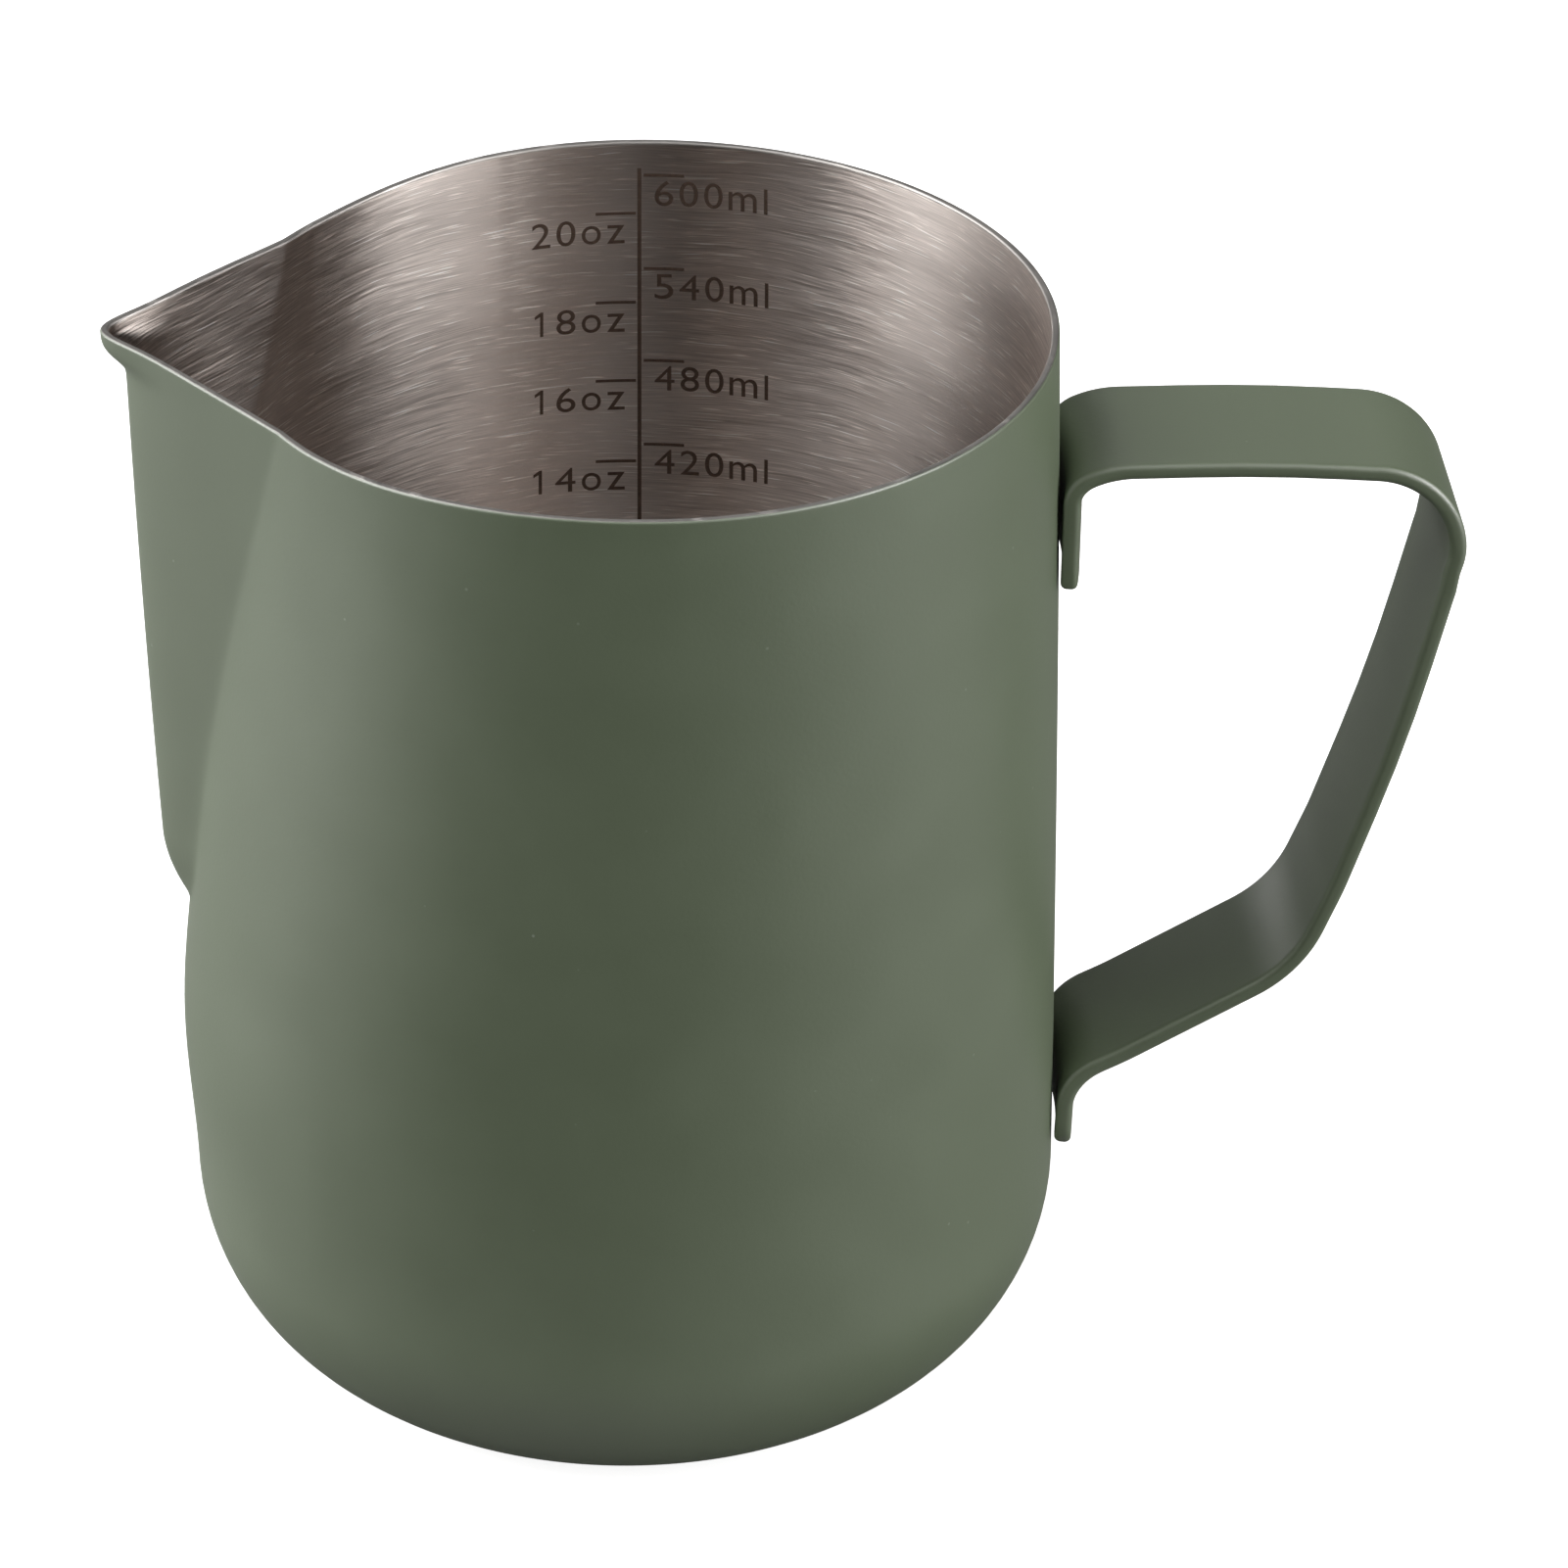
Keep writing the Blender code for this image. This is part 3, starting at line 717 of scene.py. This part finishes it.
def weld_material():
    """Fused steel, mottled between a straw-brown heat tint and grey."""
    mat, nodes, links, shader = new_material("weld_steel")
    mm = object_mm(nodes, links)
    mottle = noise(nodes, links, mm, 1.4, 4.0, 0.6)
    mix = nodes.new("ShaderNodeMix")
    mix.data_type = "RGBA"
    mix.inputs["A"].default_value = (0.30, 0.25, 0.20, 1.0)
    mix.inputs["B"].default_value = (0.46, 0.45, 0.45, 1.0)
    links.new(ramp(nodes, links, mottle, 0.35, 0.65, 0.0, 1.0), mix.inputs["Factor"])
    links.new(mix.outputs["Result"], shader.inputs["Base Color"])
    shader.inputs["Metallic"].default_value = 1.0
    links.new(ramp(nodes, links, mottle, 0.3, 0.7, 0.35, 0.6), shader.inputs["Roughness"])
    bump = nodes.new("ShaderNodeBump")
    bump.inputs["Strength"].default_value = 0.3
    bump.inputs["Distance"].default_value = 0.0001
    links.new(mottle, bump.inputs["Height"])
    links.new(bump.outputs["Normal"], shader.inputs["Normal"])
    return mat


# what other surfaces see of the floor, by azimuth round the object: painted bounce light, dark in front and pale at the
# sides
FLOOR_BOUNCE = ((-180, 0.10), (-160, 0.24), (-140, 0.50), (-100, 0.45), (-62, 0.11), (-40, 0.04), (40, 0.04),
                (70, 0.15), (100, 0.34), (125, 0.28), (150, 0.10), (180, 0.10))
FLOOR_NEAR = 0.14         # and this much more painted bounce light close to the foot
FLOOR_LIFT = 0.80         # lifts it to white in the picture


def azimuth_ramp(nodes, links, turn, stops, peak=1.0):
    """Grey levels by azimuth in degrees; turn is 0 to 1 for -180 to 180."""
    node = nodes.new("ShaderNodeValToRGB")
    node.color_ramp.interpolation = "LINEAR"
    while len(node.color_ramp.elements) < len(stops):
        node.color_ramp.elements.new(0.5)
    for element, (azimuth, level) in zip(node.color_ramp.elements, stops):
        element.position = azimuth / 360.0 + 0.5
        element.color = (level / peak, level / peak, level / peak, 1.0)
    links.new(turn, node.inputs["Fac"])
    return node.outputs["Color"]


def floor_material():
    """Plain pale floor, a little mottled; to bounce rays it carries painted light: pale at the sides, dark in front,
    brighter round the foot.
    """
    mat, nodes, links, shader = new_material("pale_floor")
    mm = object_mm(nodes, links, (60.0, 60.0, 60.0))
    mottle = noise(nodes, links, mm, 1.0, 3.0, 0.5)
    mix = nodes.new("ShaderNodeMix")
    mix.data_type = "RGBA"
    mix.inputs["A"].default_value = (0.90, 0.90, 0.90, 1.0)
    mix.inputs["B"].default_value = (0.92, 0.92, 0.92, 1.0)
    links.new(mottle, mix.inputs["Factor"])
    # seen white by the camera; what it throws back onto the object is held down
    ray = nodes.new("ShaderNodeLightPath")
    seen = nodes.new("ShaderNodeMix")
    seen.data_type = "RGBA"
    coord = nodes.new("ShaderNodeTexCoord")
    split = nodes.new("ShaderNodeSeparateXYZ")
    links.new(coord.outputs["Object"], split.inputs[0])
    turn = math_node(nodes, links, "ARCTAN2", split.outputs[0], math_node(nodes, links, "MULTIPLY", split.outputs[1], -1.0))
    # painted bounce light: the floor's colour for other rays by azimuth, pale at the sides and dark in front
    painted_side_bounce = azimuth_ramp(nodes, links, math_node(nodes, links, "MULTIPLY_ADD", turn, 0.5 / math.pi, 0.5), FLOOR_BOUNCE)
    reach = nodes.new("ShaderNodeVectorMath")
    reach.operation = "LENGTH"
    links.new(coord.outputs["Object"], reach.inputs[0])
    # painted pool of bounce light round the foot, seen only by other rays
    painted_foot_bounce = ramp(nodes, links, reach.outputs["Value"], 0.062, 0.092, FLOOR_NEAR, 0.0)
    links.new(math_node(nodes, links, "ADD", painted_side_bounce, painted_foot_bounce), seen.inputs["A"])
    links.new(mix.outputs["Result"], seen.inputs["B"])
    links.new(ray.outputs["Is Camera Ray"], seen.inputs["Factor"])
    links.new(seen.outputs["Result"], shader.inputs["Base Color"])
    links.new(math_node(nodes, links, "MULTIPLY", ray.outputs["Is Camera Ray"], FLOOR_LIFT), shader.inputs["Emission Strength"])
    shader.inputs["Emission Color"].default_value = (1.0, 1.0, 1.0, 1.0)
    shader.inputs["Roughness"].default_value = 0.9
    shader.inputs["Specular IOR Level"].default_value = 0.1
    return mat


# ------------------------------------------------------------------ the parts
body_coat = coat_material("sage_powder_coat")
handle_coat = coat_material("sage_powder_coat_handle")
steel_inside = brushed_material("brushed_steel_inside", True)
steel_rim = brushed_material("ground_steel_rim", False)
etched = etched_material()
fused = weld_material()

cup = make_cup()
for m in (body_coat, steel_inside, steel_rim):
    cup.data.materials.append(m)
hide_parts("pitcher_body")
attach(cup, "root")

handle = make_handle()
handle.data.materials.clear()
handle.data.materials.append(handle_coat)
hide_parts("handle_strip")
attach(handle, "root")

low_x = TAB_LOW_X + 0.2 * (WELD_LOW_Z - TAB_LOW_END_Z) / (31.1 - TAB_LOW_END_Z)
for name, tab_x, side, z in (("weld_upper_left", TAB_UP_X, 1.0, WELD_UP_Z),
                             ("weld_upper_right", TAB_UP_X, -1.0, WELD_UP_Z),
                             ("weld_lower_left", low_x, 1.0, WELD_LOW_Z),
                             ("weld_lower_right", low_x, -1.0, WELD_LOW_Z)):
    nugget = make_weld(name + "_nugget", tab_x, side * WELD_OFFSET_Y, z)
    nugget.data.materials.append(fused)
    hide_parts(name)
    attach(nugget, "root")

marks = [bar("scale_line", SCALE_LINE_X - 0.5 * LINE_W, 24.0, SCALE_LINE_X + 0.5 * LINE_W, 112.2)]
for volume, level in ML_LEVELS:
    marks.append(bar(f"tick_ml_{volume}", SCALE_LINE_X + 0.45, level - 0.5 * TICK_W, SCALE_LINE_X + 4.7, level + 0.5 * TICK_W))
    marks.append(label(f"figures_ml_{volume}", f"{volume}ml", SCALE_LINE_X + 1.6, level - 0.62 - DIGIT_H, "LEFT"))
for volume, level in OZ_LEVELS:
    marks.append(bar(f"tick_oz_{volume}", SCALE_LINE_X - 4.6, level - 0.5 * TICK_W, SCALE_LINE_X - 0.35, level + 0.5 * TICK_W))
    marks.append(label(f"figures_oz_{volume}", f"{volume}oz", SCALE_LINE_X - 1.54, level - 0.58 - DIGIT_H, "RIGHT"))
for mark in marks:
    mark.data.materials.clear()
    mark.data.materials.append(etched)
    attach(mark, "root")


# ------------------------------------------------------------------- the stage
def make_floor():
    bm = bmesh.new()
    bmesh.ops.create_grid(bm, x_segments=8, y_segments=8, size=6.0)
    mesh = bpy.data.meshes.new("floor")
    bm.to_mesh(mesh)
    bm.free()
    ob = link(bpy.data.objects.new("floor", mesh))
    ob.location = (0.0, 0.0, -0.0002)
    mesh.materials.append(floor_material())
    return ob


# Soft light round the object in three belts: (lowest, highest elevation, (azimuth, level) stops), degrees,
# azimuth 0 towards -Y and +90 towards +X; the lid is everything above its elevation.
LIGHTS = (
    (-2.0, 13.0, (
        (-180, 0), (-166, 0), (-150, 0.8), (-138, 1.5), (-124, 1.6), (-110, 1.0), (-96, 0.3), (-84, 0), (180, 0),
    )),
    (-2.0, 34.0, (
        (-180, 0.3), (-160, 0.1), (-146, 0), (-137, 0.4), (-131.2, 0.8), (-123.8, 1.4), (-116.2, 2.1),
        (-108, 3.1), (-101.2, 4.6), (-93.75, 5.7), (-86.25, 5.4), (-78.75, 4.0), (-63.75, 0.9), (-48.75, 0.1),
        (-38, 0), (11.25, 0), (26.25, 0.35), (33.75, 1.1), (48.0, 3.6), (56.25, 4.5), (63.75, 5.5),
        (71.25, 6.2), (78.75, 5.0), (86.25, 1.5), (93.75, 0.2), (101.2, 0), (131.2, 0),
        (140, 0.1), (155.5, 0.3), (180, 0.3),
    )),
    (34.0, 70.0, (
        (-180, 0.6), (-150, 0), (-137, 0.1), (-131.2, 0.4), (-123.8, 1.2), (-116.2, 2.1), (-101.2, 3.7),
        (-93.75, 4.0), (-71.25, 2.7), (-63.75, 1.9), (-48.75, 0.9), (-33.75, 0.5), (-20, 0.4), (-6, 0.6),
        (9, 1.6), (24, 0.5), (41.25, 0.4),
        (56.25, 1.0), (71.25, 2.7), (78.75, 2.8), (86.25, 0.8), (93.75, 0.2), (101.2, 0), (150, 0),
        (180, 0.6),
    )),
)
LID = (70.0, 0.00)
LEVEL = 0.90
FILL = 0.0
WARMTH = (1.0, 0.99, 0.985, 1.0)


def studio_world():
    """A soft studio: tall soft light from both sides, dark in front, and a lid above whose level LID sets, now none."""
    world = bpy.data.worlds.new("studio")
    bpy.context.scene.world = world
    world.use_nodes = True
    nodes, links = world.node_tree.nodes, world.node_tree.links
    nodes.clear()
    out = nodes.new("ShaderNodeOutputWorld")
    back = nodes.new("ShaderNodeBackground")
    coord = nodes.new("ShaderNodeTexCoord")
    split = nodes.new("ShaderNodeSeparateXYZ")
    links.new(coord.outputs["Generated"], split.inputs[0])
    x, y, z = split.outputs
    turn = math_node(nodes, links, "MULTIPLY_ADD",
                     math_node(nodes, links, "ARCTAN2", x, math_node(nodes, links, "MULTIPLY", y, -1.0)),
                     0.5 / math.pi, 0.5)
    elevation = math_node(nodes, links, "MULTIPLY", math_node(nodes, links, "ARCSINE", z), 180.0 / math.pi)
    peak = max(level for _, _, stops in LIGHTS for _, level in stops)
    total = ramp(nodes, links, elevation, LID[0] - 3.0, LID[0] + 3.0, FILL, FILL + LID[1] * LEVEL)
    for low, high, stops in LIGHTS:
        value = math_node(nodes, links, "MULTIPLY", azimuth_ramp(nodes, links, turn, stops, peak), peak * LEVEL)
        value = math_node(nodes, links, "MULTIPLY", value, ramp(nodes, links, elevation, low - 3.0, low + 3.0, 0.0, 1.0))
        value = math_node(nodes, links, "MULTIPLY", value, ramp(nodes, links, elevation, high - 3.0, high + 3.0, 1.0, 0.0))
        total = math_node(nodes, links, "ADD", total, value)
    # the backdrop itself is plain white
    ray = nodes.new("ShaderNodeLightPath")
    white = nodes.new("ShaderNodeMix")
    white.data_type = "FLOAT"
    links.new(ray.outputs["Is Camera Ray"], white.inputs["Factor"])
    links.new(total, white.inputs["A"])
    white.inputs["B"].default_value = 1.0
    links.new(white.outputs["Result"], back.inputs["Strength"])
    back.inputs["Color"].default_value = WARMTH
    links.new(back.outputs[0], out.inputs[0])


def make_camera():
    az, el, roll = math.radians(-2.83998), math.radians(30.33554), math.radians(0.346)
    b = Vector((math.sin(az) * math.cos(el), -math.cos(az) * math.cos(el), math.sin(el)))
    r = Vector((math.cos(az), math.sin(az), 0.0))
    u = b.cross(r)
    xa = r * math.cos(roll) + u * math.sin(roll)
    ya = u * math.cos(roll) - r * math.sin(roll)
    data = bpy.data.cameras.new("camera")
    data.sensor_width = 36.0
    data.lens = 146.159
    data.shift_x = 0.04975
    data.shift_y = -0.000685
    data.clip_start, data.clip_end = 0.01, 50.0
    cam = link(bpy.data.objects.new("camera", data))
    m = Matrix((xa, ya, b)).transposed().to_4x4()
    m.translation = Vector((-19.574, -558.598, 389.903)) * MM
    cam.matrix_world = m
    bpy.context.scene.camera = cam
    return cam


make_floor()
studio_world()
make_camera()
bpy.context.scene.view_settings.view_transform = "Standard"
bpy.context.scene.view_settings.look = "None"

bpy.context.view_layer.update()
